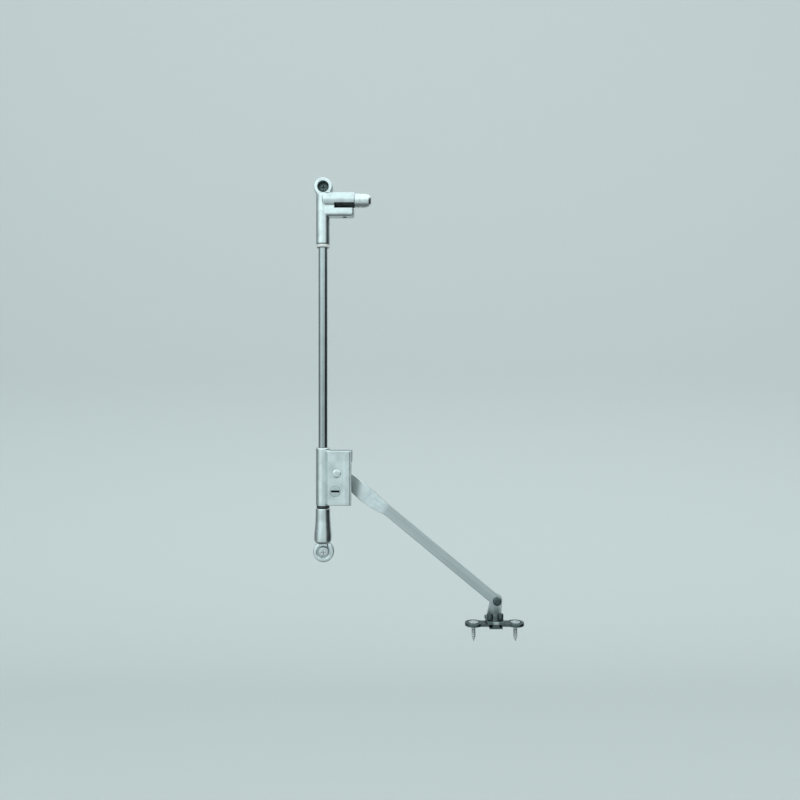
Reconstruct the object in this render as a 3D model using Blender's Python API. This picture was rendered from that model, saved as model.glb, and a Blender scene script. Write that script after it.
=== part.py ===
"""Stay for a drop-down cabinet flap: braked slider on a guide rod, cranked arm, screw-on flap bracket.

Frame: X runs towards the cabinet's front edge, Z is up, and Y runs into the cabinet's side panel.
The panel's face is the plane Y = 0. A depth is a distance from that face into the cabinet, so it is -Y.
The origin is on the panel's face, on the rod's line, at the middle of the lower bracket's back pad.
The stay is modelled with the flap open and level, so the slider sits on its lower stop.
"""

import math

import bmesh
import bpy
from mathutils import Matrix, Vector

MM = 0.001

# Driving dimensions
SCREW_SPACING = 288 * MM  # between the two panel screws: nine steps of the 32 mm hole row
PAD_TO_SCREW = 12 * MM  # the origin's pad to the lower panel screw
ROD_RADIUS = 3.5 * MM
ROD_DEPTH = 8 * MM
ARM_LENGTH = 157.3 * MM  # pivot to pivot
ARM_DROP = math.radians(38.3)  # the arm below the level with the flap open
FLAP_HEIGHT = 18 * MM  # the arm's pivot above the flap's face
WING_HOLES = 32 * MM  # between the wing plate's screws

# Derived places
LOWER_SCREW_Z = -PAD_TO_SCREW
UPPER_SCREW_Z = LOWER_SCREW_Z + SCREW_SPACING
LOWER_SLEEVE_TOP = 23.2 * MM
UPPER_SLEEVE_FOOT = 230 * MM
SLIDER_FOOT = LOWER_SLEEVE_TOP + 1.8 * MM
SLIDER_LENGTH = 45.7 * MM
SLIDER_TOP = SLIDER_FOOT + SLIDER_LENGTH
ARM_PIVOT = Vector((11.5 * MM, 0, 51 * MM))
FLAP_PIVOT = ARM_PIVOT + Vector((math.cos(ARM_DROP), 0, -math.sin(ARM_DROP))) * ARM_LENGTH

# Depths of the layers, from the panel into the cabinet
PLATE_BACK, PLATE_FRONT = 0.4 * MM, 1.6 * MM  # the slider's back plate
HEAD_DEPTH = 3.25 * MM  # middle of the arm where it sits in the slider
BAR_DEPTH = 20 * MM  # middle of the arm at the flap
ARM_THICK = 2.5 * MM
HOOD_INSIDE, HOOD_FACE = 15, 17  # in millimetres
LUG_BACK, LUG_FRONT = 14.8 * MM, 17.4 * MM
RIDGE_DEPTH = 22 * MM  # middle of the wing plate

ROUND = 32  # sides of a large round piece
SMALL_ROUND = 20

# Rotations that turn a piece's own +Z
TO_ROOM = (math.pi / 2, 0, 0)
TO_PANEL = (-math.pi / 2, 0, 0)
TO_FRONT = (0, math.pi / 2, 0)


# ---- tools ----

def clear_scene():
    for obj in list(bpy.data.objects):
        bpy.data.objects.remove(obj)


def finish_of(name, colour, roughness, metallic):
    made = bpy.data.materials.new(name)
    made.use_nodes = True
    shader = made.node_tree.nodes["Principled BSDF"]
    shader.inputs["Base Color"].default_value = (*colour, 1)
    shader.inputs["Roughness"].default_value = roughness
    shader.inputs["Metallic"].default_value = metallic
    return made


def solid(name, bm, finish=None, at=(0, 0, 0), turn=(0, 0, 0), parent=None):
    """An object from a bmesh that is in its own frame, in metres."""
    mesh = bpy.data.meshes.new(name)
    bmesh.ops.recalc_face_normals(bm, faces=bm.faces)
    bm.to_mesh(mesh)
    bm.free()
    made = bpy.data.objects.new(name, mesh)
    bpy.context.scene.collection.objects.link(made)
    made.location = at
    made.rotation_euler = turn
    made.parent = parent
    if finish:
        mesh.materials.append(finish)
    return made


def boolean(body, operation, tools, solver):
    """Joins the tools to the body, or cuts them out of it, and removes them."""
    for tool in tools:
        modifier = body.modifiers.new(operation, "BOOLEAN")
        modifier.operation = operation
        modifier.solver = solver
        modifier.object = tool
        bpy.context.view_layer.update()
        graph = bpy.context.evaluated_depsgraph_get()
        mesh = bpy.data.meshes.new_from_object(body.evaluated_get(graph))
        body.modifiers.clear()
        body.data = mesh
        bpy.data.objects.remove(tool)
    return body


def join(body, *tools, solver="EXACT"):
    return boolean(body, "UNION", tools, solver)


def cut(body, *tools, solver="EXACT"):
    return boolean(body, "DIFFERENCE", tools, solver)


def smooth(body, degrees=35):
    body.data.shade_smooth()
    body.data.set_sharp_from_angle(angle=math.radians(degrees))
    return body


def empty(name, at, turn=(0, 0, 0)):
    """The frame of a moving body, on its joint's axis."""
    made = bpy.data.objects.new(name, None)
    bpy.context.scene.collection.objects.link(made)
    made.location = at
    made.rotation_euler = turn
    bpy.context.view_layer.update()
    return made


def turned(*profile, sides=ROUND):
    """A solid of revolution about Z. The profile is (radius, height) in millimetres.

    A profile that starts and ends on the axis makes a full body. Any other is a ring's section.
    """
    bm = bmesh.new()
    points = [bm.verts.new((radius * MM, 0, height * MM)) for radius, height in profile]
    edges = [bm.edges.new(pair) for pair in zip(points, points[1:])]
    if profile[0][0] > 0:
        edges.append(bm.edges.new((points[-1], points[0])))
    bmesh.ops.spin(
        bm, geom=points + edges, cent=(0, 0, 0), axis=(0, 0, 1), angle=2 * math.pi,
        steps=sides, use_merge=True,
    )
    bmesh.ops.remove_doubles(bm, verts=bm.verts, dist=1e-6)
    return bm


def rod_between(radius, low, high, sides=ROUND, chamfer=0.0):
    """A round bar about Z, in millimetres, with optional chamfers."""
    if not chamfer:
        return turned((0, low), (radius, low), (radius, high), (0, high), sides=sides)
    return turned(
        (0, low), (radius - chamfer, low), (radius, low + chamfer),
        (radius, high - chamfer), (radius - chamfer, high), (0, high), sides=sides,
    )


def slab(outline, near, far):
    """A flat outline of (x, z) points filling the depths from near to far, in metres."""
    bm = bmesh.new()
    face = bm.faces.new([bm.verts.new((x, -near, z)) for x, z in outline])
    grown = bmesh.ops.extrude_face_region(bm, geom=[face])["geom"]
    moved = [v for v in grown if isinstance(v, bmesh.types.BMVert)]
    bmesh.ops.translate(bm, verts=moved, vec=(0, near - far, 0))
    return bm


def block(x, depth, z, bevel=0.0):
    """A box from three (low, high) pairs in millimetres, with an optional edge radius."""
    bm = bmesh.new()
    bmesh.ops.create_cube(bm, size=1)
    sizes = [(high - low) * MM for low, high in (x, depth, z)]
    middle = Vector((sum(x), -sum(depth), sum(z))) * (MM / 2)
    bmesh.ops.transform(bm, matrix=Matrix.Translation(middle) @ Matrix.Diagonal((*sizes, 1)), verts=bm.verts)
    if bevel:
        bmesh.ops.bevel(
            bm, geom=bm.edges[:], offset=bevel * MM, offset_type="OFFSET", segments=2,
            profile=0.5, affect="EDGES",
        )
    return bm


def arc(x, z, radius, start, stop, steps=12):
    """Points on an arc in an outline, from one angle to another in degrees."""
    angles = [math.radians(start + (stop - start) * i / steps) for i in range(steps + 1)]
    return [(x + radius * math.cos(a), z + radius * math.sin(a)) for a in angles]


def screw(head_radius, head, shank_radius, length, countersunk=False):
    """A wood screw's body about Z, with its head's top at 0 and its point down. Millimetres."""
    under = (shank_radius, -head) if countersunk else (head_radius, -head)
    rim = (head_radius, -0.5) if countersunk else (head_radius, -0.45 * head)
    return turned(
        (0, 0), (0.72 * head_radius, -0.04 * head), rim, under, (shank_radius, -head - 0.1),
        (shank_radius, 4 - length), (0.35, -length), (0, -length), sides=SMALL_ROUND,
    )


def cross_recess(screw_body, width, span, depth):
    """Cuts a cross recess into a screw whose head's top is at local Z = 0."""
    for wide, deep in ((span, width), (width, span)):
        tool = block((-wide / 2, wide / 2), (-deep / 2, deep / 2), (-depth, 1))
        place = {"at": screw_body.location, "turn": screw_body.rotation_euler, "parent": screw_body.parent}
        cut(screw_body, solid("recess", tool, **place))
    return screw_body


# ---- fixed body: rod, brackets and magnet housing ----

def make_guide_rod(finish):
    low, high = 3 * MM, 258 * MM
    rod = solid(
        "guide_rod", rod_between(ROD_RADIUS / MM, 0, (high - low) / MM, chamfer=0.5), finish,
        at=(0, -ROD_DEPTH, low),
    )
    for z in (12 * MM, 246 * MM):
        cut(rod, solid("pin_hole", rod_between(1.3, -6, 6, sides=16), at=(0, -ROD_DEPTH, z), turn=TO_FRONT))
    return smooth(rod)


def make_rod_pins(finish):
    """Grooved pins across the rod's two ends, which hold it in the brackets."""
    for end, z in (("lower", 12 * MM), ("upper", 246 * MM)):
        pin = rod_between(1.0, -5, 5, sides=16, chamfer=0.2)
        smooth(solid(f"{end}_rod_pin", pin, finish, at=(0, -ROD_DEPTH, z), turn=TO_FRONT))


def make_lower_bracket(finish):
    """A round eye on the panel, and a sleeve that flares down into it and takes the rod's foot."""
    eye = turned((0, 0), (8.2, 0), (8.2, 5.2), (7.4, 6), (5.9, 6), (5.6, 5.6), (0, 5.6))
    bracket = solid("lower_bracket", eye, finish, at=(0, 0, LOWER_SCREW_Z), turn=TO_ROOM)
    sleeve = turned(
        (0, -4.5), (5.4, -4.3), (6.6, -2.6), (6.9, 0.5), (6.4, 6), (5.9, 13), (5.7, 22.6), (5.1, 23.2),
        (0, 23.2),
    )
    web = block((-3.2, 3.2), (0, 8), (-12, 21), bevel=0)
    join(
        bracket,
        solid("sleeve", sleeve, at=(0, -ROD_DEPTH, 0)),
        solid("web", web),
    )
    cut(
        bracket,
        solid("socket", rod_between(3.8, 2.4, 40), at=(0, -ROD_DEPTH, 0)),
        solid("seat", rod_between(5.2, 3, 20), at=(0, 0, LOWER_SCREW_Z), turn=TO_ROOM),
        solid("screw_hole", rod_between(2.3, -1, 9), at=(0, 0, LOWER_SCREW_Z), turn=TO_ROOM),
        solid("pin_hole", rod_between(1.3, -8, 8, sides=16), at=(0, -ROD_DEPTH, 12 * MM), turn=TO_FRONT),
    )
    return smooth(bracket)


MAGNET_Z = UPPER_SCREW_Z - 11.4 * MM
MAGNET_LINE = (0, -ROD_DEPTH, MAGNET_Z)


def make_upper_bracket(finish):
    """An eye on the panel, the sleeve for the rod's head, and the slotted barrel for the magnet."""
    eye = turned((0, 0), (7.3, 0), (7.3, 7.9), (6.7, 8.5), (0, 8.5))
    bracket = solid("upper_bracket", eye, finish, at=(0, 0, UPPER_SCREW_Z), turn=TO_ROOM)
    foot, top = UPPER_SLEEVE_FOOT / MM, UPPER_SCREW_Z / MM - 5.5
    sleeve = turned((0, foot), (4.8, foot), (5.4, foot + 0.6), (5.4, top), (0, top))
    axis_z = MAGNET_Z / MM
    join(
        bracket,
        solid("sleeve", sleeve, at=(0, -ROD_DEPTH, 0)),
        solid("web", block((-3.2, 3.2), (0, 8.2), (foot + 1, top))),
        solid("barrel", rod_between(6.6, 0, 25.2, chamfer=0.5), at=MAGNET_LINE, turn=TO_FRONT),
        solid("jaw", block((1, 24.8), (2.6, 13.4), (axis_z - 12.9, axis_z - 4.6), bevel=1.0)),
        solver="MANIFOLD",
    )
    cut(
        bracket,
        solid("socket", rod_between(3.8, foot - 9, 258.4), at=(0, -ROD_DEPTH, 0)),
        solid("recess", rod_between(4.6, 1.8, 20), at=(0, 0, UPPER_SCREW_Z), turn=TO_ROOM),
        solid("screw_hole", rod_between(2.3, -1, 9), at=(0, 0, UPPER_SCREW_Z), turn=TO_ROOM),
        solid("magnet_bore", rod_between(5.7, 7, 40), at=MAGNET_LINE, turn=TO_FRONT),
        solid("slot", block((9.2, 40), (8, 20), (axis_z - 6.9, axis_z - 2.8))),
        solid("pin_hole", rod_between(1.3, -8, 8, sides=16), at=(0, -ROD_DEPTH, 246 * MM), turn=TO_FRONT),
        solid("lock_hole", rod_between(1.8, axis_z - 14, axis_z - 4, sides=16), at=(17 * MM, -ROD_DEPTH, 0)),
        solver="MANIFOLD",
    )
    return smooth(bracket)


def make_lock_screw(finish):
    """The grub screw in the jaw that holds the magnet where it is set."""
    top = MAGNET_Z / MM - 6.1
    grub = solid(
        "magnet_lock_screw", turned((0, 0), (1.1, 0), (1.5, 0.4), (1.5, 4.6), (0, 4.6), sides=16), finish,
        at=(17 * MM, -ROD_DEPTH, top * MM - 4.6 * MM),
    )
    key = solid("key", rod_between(0.75, -1, 1.6, sides=6), at=grub.location)
    return smooth(cut(grub, key))


def make_panel_screw(name, seat_depth, z, finish):
    """A cross-head screw into the panel. Its head stands in the bracket's recess."""
    made = solid(
        name, screw(4.2, 2.6, 1.9, 20), finish,
        at=(0, -(seat_depth + 2.9) * MM, z), turn=TO_ROOM,
    )
    return smooth(cross_recess(made, 0.9, 4.4, 1.6))


def make_buffer(name, low, high, finish):
    """A soft ring round the rod where the slider stops."""
    ring = turned((3.85, low), (5.0, low), (5.2, (low + high) / 2), (5.0, high), (3.85, high))
    return smooth(solid(name, ring, finish, at=(0, -ROD_DEPTH, 0)))


# ---- magnet body: slides in the upper bracket's barrel ----

def make_magnet(finishes):
    frame = empty("magnet_slide", MAGNET_LINE)
    carrier = turned((0, 10), (5.0, 10), (5.4, 10.4), (5.4, 24.6), (0, 24.6))
    carrier = solid("magnet_carrier", carrier, finishes["black"], turn=TO_FRONT, parent=frame)
    nose = [(0, 24.9), (5.4, 24.9), (5.4, 30.5)]
    nose += [(3.3 + 2.1 * math.cos(a), 31 + 6.3 * math.sin(a)) for a in (0.25, 0.6, 0.95, 1.25, math.pi / 2)]
    cap = solid("magnet_cap", turned(*nose, (0, 37.3)), finishes["nickel"], turn=TO_FRONT, parent=frame)
    cut(cap, solid("core_hole", rod_between(2.9, 26, 60, sides=24), turn=TO_FRONT, parent=frame))
    core = rod_between(2.6, 26.3, 37.6, sides=24, chamfer=0.15)
    core = solid("magnet_core", core, finishes["magnet"], turn=TO_FRONT, parent=frame)
    for piece in (carrier, cap, core):
        smooth(piece)


# ---- slider body ----

BRAKE_AT = Vector((10.4 * MM, 0, 37.3 * MM))
PLATE_SCREWS = (8.2, 18.6)
PLATE_SCREW_Z = 62.3


def make_slider_housing(finish):
    """A tube on the rod with a hood beside it, open to the front and below for the arm's swing."""
    foot, top = SLIDER_FOOT / MM, SLIDER_TOP / MM
    tube = turned((0, foot), (5.0, foot), (5.5, foot + 0.5), (5.5, top - 1.2), (4.9, top), (0, top))
    housing = solid("slider_housing", tube, finish, at=(0, -ROD_DEPTH, 0))
    screw_places = [(x * MM, 0, PLATE_SCREW_Z * MM) for x in PLATE_SCREWS]
    join(
        housing,
        solid("face", block((4.2, 22.8), (HOOD_INSIDE, HOOD_FACE), (26.2, 68.6))),
        solid("left_wall", block((4.2, 5.1), (9, 16), (26.2, 68.6))),
        solid("top_wall", block((3.6, 22.8), (1.2, 16), (66.6, 68.6))),
        solid("right_wall", block((21.4, 22.8), (1.2, 16), (59.4, 67))),
        solid("boss", rod_between(5, 5.5, 16, sides=24), at=ARM_PIVOT, turn=TO_ROOM),
        *[solid("post", rod_between(2.3, 1.9, 16, sides=16), at=spot, turn=TO_ROOM) for spot in screw_places],
    )
    cut(
        housing,
        solid("bore", rod_between(4.55, foot - 5, top + 5), at=(0, -ROD_DEPTH, 0)),
        solid("pivot_hole", rod_between(2.7, 0, 20, sides=24), at=ARM_PIVOT, turn=TO_ROOM),
        solid("adjuster_hole", rod_between(4.2, 14, 20, sides=24), at=BRAKE_AT, turn=TO_ROOM),
        solid("shoe_window", block((2, 8), (5.0, 11.0), (31.6, 43.0))),
        *[solid("hole", rod_between(1.3, 1, 9.6, sides=12), at=spot, turn=TO_ROOM) for spot in screw_places],
    )
    return smooth(housing)


def make_bush(name, low, high, finish):
    ring = turned((3.78, low), (4.3, low), (4.3, high), (3.78, high))
    return smooth(solid(name, ring, finish, at=(0, -ROD_DEPTH, 0)))


def make_back_plate(finish):
    """The steel plate behind the arm's head, which carries the back end of the pivot rivet."""
    corner = 2.5 * MM
    left, right, low, high = 2 * MM, 21 * MM, 43.5 * MM, 66.2 * MM
    outline = arc(right - corner, high - corner, corner, 0, 90, 4)
    outline += arc(left + corner, high - corner, corner, 90, 180, 4)
    outline += arc(left + corner, low + corner, corner, 180, 270, 4)
    outline += arc(right - corner, low + corner, corner, 270, 360, 4)
    plate = solid("slider_back_plate", slab(outline, PLATE_BACK, PLATE_FRONT), finish)
    cut(plate, solid("rivet_hole", rod_between(2.7, -1, 4, sides=24), at=ARM_PIVOT, turn=TO_ROOM))
    for x in PLATE_SCREWS:
        hole = turned((0, -1), (3.2, -1), (2.35, 0.4), (1.35, 1.3), (1.35, 3), (0, 3), sides=16)
        cut(plate, solid("countersink", hole, at=(x * MM, 0, PLATE_SCREW_Z * MM), turn=TO_ROOM))
    return smooth(plate)


def make_plate_screws(finish):
    """Two small countersunk screws that hold the back plate to the hood's posts."""
    for number, x in enumerate(PLATE_SCREWS, 1):
        body = turned((0, 0), (1.85, 0), (1.0, -0.85), (1.0, -7.6), (0, -8), sides=12)
        place = (x * MM, -0.45 * MM, PLATE_SCREW_Z * MM)
        made = solid(f"back_plate_screw_{number}", body, finish, at=place, turn=TO_PANEL)
        smooth(cross_recess(made, 0.45, 2.0, 0.6))


def make_arm_rivet(finish):
    """The arm's pivot, from the back plate through the hood's face, with a low domed head."""
    body = turned(
        (0, 0.6), (2.2, 0.6), (2.4, 0.8), (2.4, 17.3), (3.3, 17.3), (3.3, 17.7), (2.3, 18.2), (0, 18.4),
        sides=24,
    )
    return smooth(solid("arm_pivot_rivet", body, finish, at=ARM_PIVOT, turn=TO_ROOM))


def make_arm_washer(finish):
    ring = turned((2.7, 4.75), (4.7, 4.75), (4.7, 5.2), (2.7, 5.2), sides=24)
    return smooth(solid("arm_thrust_washer", ring, finish, at=ARM_PIVOT, turn=TO_ROOM))


# ---- brake: the adjuster's cam bears on the leaf spring, which presses the shoe on the rod ----

def make_brake(finishes):
    adjuster_frame = empty("adjuster_axis", BRAKE_AT)
    cam_offset = 0.5 * MM
    head = turned(
        (0, 14.0), (4.9, 14.0), (4.9, 14.7), (3.9, 14.7), (3.9, 16.6), (3.6, 16.9), (0, 16.9), sides=24
    )
    adjuster = solid("brake_adjuster", head, finishes["zinc"], turn=TO_ROOM, parent=adjuster_frame)
    cam = solid("cam", rod_between(4.0, 8.0, 14.2, sides=24), at=(0, 0, cam_offset), turn=TO_ROOM)
    cam.parent = adjuster_frame
    slot = solid("slot", block((-3.2, 3.2), (15.8, 18), (-0.65, 0.65)), parent=adjuster_frame)
    smooth(cut(join(adjuster, cam), slot))

    shoe = solid("brake_shoe", block((2.2, 5.2), (5.4, 10.6), (32.1, 42.5)), finishes["brown"])
    smooth(cut(shoe, solid("rod_hollow", rod_between(3.8, 20, 50), at=(0, -ROD_DEPTH, 0))))
    leaf = [(5.95, -4.6), (5.95, 4.6), (5.5, 4.6), (5.5, 3.6), (5.6, 0), (5.5, -3.6), (5.5, -4.6)]
    leaf = slab([(x * MM, BRAKE_AT.z + z * MM) for x, z in leaf], 8.4 * MM, 10.4 * MM)
    smooth(solid("brake_spring", leaf, finishes["spring"]))


# ---- arm body: flat steel, wide at the slider, cranked out to the flap bracket's line ----

HEAD_RADIUS = 5.7 * MM
BAR_HALF = 4.0 * MM
BAR_START = Vector((48 * MM, 2.6 * MM))  # along and across the line between the pivots
CRANK = (12 * MM, 45 * MM)  # where the arm leaves its head's plane, and reaches the bar's
BEND = 2.5 * MM  # half of the length over which each bend is rounded


def arm_outline():
    """The arm's outline as (along, across) points, anticlockwise from the head's lower side."""
    run = Vector((ARM_LENGTH, 0)) - BAR_START
    tilt = math.atan2(run.y, run.x)
    side = Vector((-math.sin(tilt), math.cos(tilt))) * BAR_HALF
    lower_neck = [(28 * MM, -5.6 * MM), (38 * MM, -4.1 * MM), tuple(BAR_START - side)]
    upper_neck = [tuple(BAR_START + side), (30 * MM, 6.9 * MM), (17 * MM, 6.1 * MM)]
    tip = arc(ARM_LENGTH, 0, BAR_HALF, math.degrees(tilt) - 90, math.degrees(tilt) + 90, 12)
    head = arc(0, 0, HEAD_RADIUS, 90, 270, 14)
    return lower_neck + tip + upper_neck + head


def crank_depth(along):
    """Depth of the arm's middle at a distance from its pivot, with both bends rounded."""
    def straight(place):
        share = min(1, max(0, (place - CRANK[0]) / (CRANK[1] - CRANK[0])))
        return HEAD_DEPTH + (BAR_DEPTH - HEAD_DEPTH) * share

    samples = [straight(along + BEND * step / 5) for step in range(-5, 6)]
    return sum(samples) / len(samples)


def make_arm(finishes):
    frame = empty("arm_axis", ARM_PIVOT, (0, ARM_DROP, 0))
    bm = bmesh.new()
    bm.faces.new([bm.verts.new((along, 0, across)) for along, across in arm_outline()])
    stations = [bend + BEND * step / 2 for bend in CRANK for step in range(-2, 3)]
    for station in stations:
        everything = bm.verts[:] + bm.edges[:] + bm.faces[:]
        bmesh.ops.bisect_plane(bm, geom=everything, plane_co=(station, 0, 0), plane_no=(1, 0, 0))
    for vert in bm.verts:
        vert.co.y = -crank_depth(vert.co.x) - ARM_THICK / 2
    grown = bmesh.ops.extrude_face_region(bm, geom=bm.faces[:])["geom"]
    moved = [v for v in grown if isinstance(v, bmesh.types.BMVert)]
    bmesh.ops.translate(bm, verts=moved, vec=(0, ARM_THICK, 0))
    arm = solid("stay_arm", bm, finishes["steel"], parent=frame)
    at_tip = {"at": (ARM_LENGTH, 0, 0), "turn": TO_ROOM, "parent": frame}
    cut(
        arm,
        solid("pivot_hole", rod_between(2.7, 0, 10, sides=24), turn=TO_ROOM, parent=frame),
        solid("rivet_hole", rod_between(2.2, 10, 30, sides=SMALL_ROUND), **at_tip),
    )
    smooth(arm)

    rivet = turned(
        (0, 13.6), (2.6, 13.6), (2.8, 13.9), (2.8, 14.5), (1.9, 14.5), (1.9, 21.55), (3.2, 21.55),
        (3.2, 22.1), (2.2, 22.8), (0, 23), sides=SMALL_ROUND,
    )
    smooth(solid("flap_pivot_rivet", rivet, finishes["dark"], **at_tip))
    washer = turned((2.2, 17.65), (3.9, 17.65), (3.9, 18.45), (2.2, 18.45), sides=SMALL_ROUND)
    smooth(solid("flap_pivot_washer", washer, finishes["black"], **at_tip))


# ---- flap bracket body: adapter on a wing plate, in a frame on the arm's end pivot ----

PLATE_X = -2.1  # the wing plate's middle from the pivot, in millimetres
FACE_Z = -FLAP_HEIGHT / MM  # the flap's face
ADAPTER_SCREWS = (PLATE_X - 3.95, PLATE_X + 3.95)
SCREW_DEPTH = 26 * MM


def across(half):
    """A stretch of X in millimetres, either side of the wing plate's middle."""
    return PLATE_X - half, PLATE_X + half


def make_flap_adapter(frame, finish):
    """A low saddle over the wing plate's ridge, with the upright lug that carries the pivot."""
    saddle = block(across(6.6), (12.4, 31.6), (FACE_Z + 2.7, FACE_Z + 5.3), bevel=0.4)
    adapter = solid("flap_adapter", saddle, finish, parent=frame)
    foot = (FACE_Z + 4) * MM
    lug = arc(0, 0, 4.6 * MM, -10, 190, 14) + [((PLATE_X - 5.8) * MM, foot), ((PLATE_X + 5.8) * MM, foot)]
    join(
        adapter,
        solid("lug", slab(lug, LUG_BACK, LUG_FRONT), parent=frame),
        solid("rib", block(across(1.3), (12.9, 15.2), (FACE_Z + 4, -4.6)), parent=frame),
    )
    cut(
        adapter,
        solid("channel", block(across(5.3), (10, 34), (FACE_Z, FACE_Z + 3.3)), parent=frame),
        solid("eye", rod_between(2.2, 10, 20, sides=SMALL_ROUND), turn=TO_ROOM, parent=frame),
    )
    for x in ADAPTER_SCREWS:
        hole = rod_between(1.4, FACE_Z + 2, FACE_Z + 7, sides=12)
        cut(adapter, solid("hole", hole, at=(x * MM, -SCREW_DEPTH, 0), parent=frame))
    return smooth(adapter)


def make_wing_plate(frame, finish):
    """Two round wings with countersunk holes, and between them a pad with a ridge along it."""
    half = WING_HOLES / 2 / MM
    pad = block(across(5), (12, 32), (FACE_Z, FACE_Z + 1.2))
    plate = solid("wing_plate", pad, finish, parent=frame)
    spots = [(PLATE_X + side * half) * MM for side in (-1, 1)]
    lobe = (0, FACE_Z), (6.6, FACE_Z), (6.6, FACE_Z + 2), (6.1, FACE_Z + 2.5), (0, FACE_Z + 2.5)
    join(
        plate,
        solid("ridge", block(across(2.6), (12, 32), (FACE_Z, FACE_Z + 3)), parent=frame),
        solid("bar", block(across(half), (17.6, 26.4), (FACE_Z, FACE_Z + 2.4)), parent=frame),
        *[solid("lobe", turned(*lobe, sides=24), at=(x, -RIDGE_DEPTH, 0), parent=frame) for x in spots],
    )
    sink = (0, -1), (2.1, -1), (2.1, 0.6), (4.3, 2.6), (4.3, 5), (0, 5)
    for x in spots:
        place = (x, -RIDGE_DEPTH, FACE_Z * MM)
        cut(plate, solid("sink", turned(*sink, sides=SMALL_ROUND), at=place, parent=frame))
    return smooth(plate)


def make_wing_screws(frame, finish):
    """Countersunk screws through the wings into the flap."""
    for number, side in enumerate((-1, 1), 1):
        place = (PLATE_X * MM + side * WING_HOLES / 2, -RIDGE_DEPTH, (FACE_Z + 2.75) * MM)
        body = screw(3.8, 2.0, 1.75, 15, countersunk=True)
        made = solid(f"wing_screw_{number}", body, finish, at=place, parent=frame)
        smooth(cross_recess(made, 0.8, 4.0, 1.3))


def make_adapter_screws(frame, finish):
    """Two short screws with tall heads, through the saddle down to the wing plate."""
    for number, x in enumerate(ADAPTER_SCREWS, 1):
        body = turned(
            (0, 0), (1.9, 0), (2.3, -0.5), (2.3, -4.5), (0.95, -4.5), (0.95, -7.1), (0, -7.3), sides=16
        )
        place = (x * MM, -SCREW_DEPTH, (FACE_Z + 10.1) * MM)
        made = solid(f"adapter_screw_{number}", body, finish, at=place, parent=frame)
        smooth(cross_recess(made, 0.6, 2.8, 0.9))


def make_flap_bracket(finishes):
    frame = empty("flap_axis", FLAP_PIVOT)
    make_flap_adapter(frame, finishes["zinc"])
    make_wing_plate(frame, finishes["dark_zinc"])
    make_wing_screws(frame, finishes["screw"])
    make_adapter_screws(frame, finishes["dark"])


def main():
    clear_scene()
    finishes = {
        "nickel": finish_of("nickel_casting", (0.80, 0.86, 0.85), 0.28, 1.0),
        "zinc": finish_of("zinc_casting", (0.66, 0.72, 0.72), 0.38, 1.0),
        "rod": finish_of("polished_rod", (0.62, 0.66, 0.66), 0.16, 1.0),
        "steel": finish_of("arm_steel", (0.50, 0.56, 0.56), 0.35, 1.0),
        "plate": finish_of("plate_steel", (0.55, 0.57, 0.58), 0.4, 1.0),
        "screw": finish_of("screw_steel", (0.70, 0.74, 0.74), 0.3, 1.0),
        "dark": finish_of("dark_screw", (0.09, 0.11, 0.11), 0.35, 1.0),
        "spring": finish_of("spring_steel", (0.42, 0.44, 0.47), 0.3, 1.0),
        "dark_zinc": finish_of("dark_casting", (0.20, 0.25, 0.25), 0.32, 1.0),
        "magnet": finish_of("magnet", (0.10, 0.10, 0.11), 0.55, 0.3),
        "black": finish_of("black_plastic", (0.03, 0.035, 0.035), 0.45, 0.0),
        "brown": finish_of("brake_lining", (0.30, 0.20, 0.12), 0.7, 0.0),
        "rubber": finish_of("buffer_rubber", (0.05, 0.05, 0.05), 0.75, 0.0),
        "bush": finish_of("bush_plastic", (0.78, 0.78, 0.74), 0.45, 0.0),
    }
    make_guide_rod(finishes["rod"])
    make_rod_pins(finishes["spring"])
    make_lower_bracket(finishes["nickel"])
    make_upper_bracket(finishes["nickel"])
    make_lock_screw(finishes["dark"])
    make_panel_screw("lower_panel_screw", 3, LOWER_SCREW_Z, finishes["screw"])
    make_panel_screw("upper_panel_screw", 1.8, UPPER_SCREW_Z, finishes["dark"])
    make_buffer("lower_buffer", 23.5, 24.7, finishes["rubber"])
    make_buffer("upper_buffer", 227.6, 229.7, finishes["bush"])
    make_magnet(finishes)
    make_slider_housing(finishes["nickel"])
    make_bush("lower_bush", 25.3, 31.2, finishes["bush"])
    make_bush("upper_bush", 60.5, 70.4, finishes["bush"])
    make_back_plate(finishes["plate"])
    make_plate_screws(finishes["dark"])
    make_arm_rivet(finishes["nickel"])
    make_arm_washer(finishes["bush"])
    make_brake(finishes)
    make_arm(finishes)
    make_flap_bracket(finishes)
    bpy.context.view_layer.update()


main()
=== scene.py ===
import math

import bmesh
import bpy
from mathutils import Matrix, Vector


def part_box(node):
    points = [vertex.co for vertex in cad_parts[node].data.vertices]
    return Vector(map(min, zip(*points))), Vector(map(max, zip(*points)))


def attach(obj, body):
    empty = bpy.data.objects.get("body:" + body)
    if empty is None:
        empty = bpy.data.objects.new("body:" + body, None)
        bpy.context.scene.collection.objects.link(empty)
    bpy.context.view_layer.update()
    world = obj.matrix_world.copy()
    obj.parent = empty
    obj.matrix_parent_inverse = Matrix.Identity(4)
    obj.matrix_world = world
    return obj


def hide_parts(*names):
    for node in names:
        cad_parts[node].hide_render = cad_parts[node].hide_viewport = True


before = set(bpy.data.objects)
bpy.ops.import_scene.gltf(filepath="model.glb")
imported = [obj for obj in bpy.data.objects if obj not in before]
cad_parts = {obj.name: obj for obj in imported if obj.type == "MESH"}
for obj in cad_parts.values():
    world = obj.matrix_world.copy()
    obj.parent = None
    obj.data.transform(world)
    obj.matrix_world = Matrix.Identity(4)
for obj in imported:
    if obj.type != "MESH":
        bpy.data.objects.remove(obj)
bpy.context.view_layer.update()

MM = 0.001


# ---------------------------------------------------------------------------------------------
# Studio. The stay hangs in front of a pale sweep of card. Two soft lamps light the card. The plated
# pieces mirror the room: bright above and to the left, black to the right, dark below and behind.

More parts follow.
